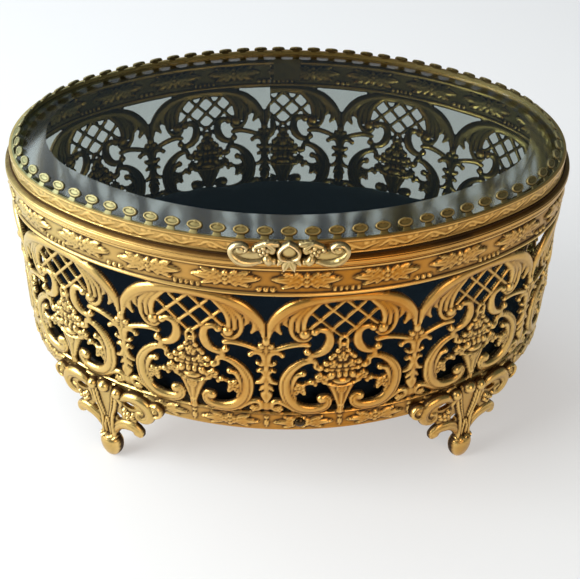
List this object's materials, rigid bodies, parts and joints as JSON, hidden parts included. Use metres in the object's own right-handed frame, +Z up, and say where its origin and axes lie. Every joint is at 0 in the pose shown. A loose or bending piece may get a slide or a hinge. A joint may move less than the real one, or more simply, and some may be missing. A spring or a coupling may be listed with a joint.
{
  "type": "jewelry box",
  "caption": "Oval openwork gilt metal jewelry casket on scrolled feet, with a hinged bevelled glass lid and a dark velvet pad.",
  "frame": {"origin": "middle of the bounding box at the floor under the feet", "axes": "+X along the length, -Y towards the front with the clasp, +Z up"},
  "size_m": [0.1822, 0.138, 0.0994],
  "materials": {
    "gilt": "antiqued gilt, dark in the hollows",
    "pale_gilt": "worn pale gilt",
    "dark_brass": "dark antiqued brass",
    "steel": "drawn wire",
    "bevelled_glass": "polished, bevelled",
    "card": "pressed card",
    "velvet": "cut velvet"
  },
  "bodies": {
    "case": {"filigree_wall": "gilt", "body_rim": "gilt", "base_plate": "dark_brass", "base_rivets": "dark_brass", "pad_board": "card", "pad_cushion": "velvet", "foot_front_left": "gilt", "foot_front_right": "gilt", "foot_back_left": "gilt", "foot_back_right": "gilt", "hinge_body_leaf": "dark_brass", "hinge_pin": "steel"},
    "lid": {"lid_band": "gilt", "glass_seat": "gilt", "glass_pane": "bevelled_glass", "crown_gallery": "pale_gilt", "thumb_clasp": "pale_gilt", "hinge_lid_leaf": "dark_brass"}
  },
  "joints": [
    {"name": "lid_hinge", "type": "hinge", "parent": "case", "child": "lid", "pos_m": [0, 0.06745, 0.0918], "axis": [-1, 0, 0], "range_deg": [0, 100]}
  ]
}
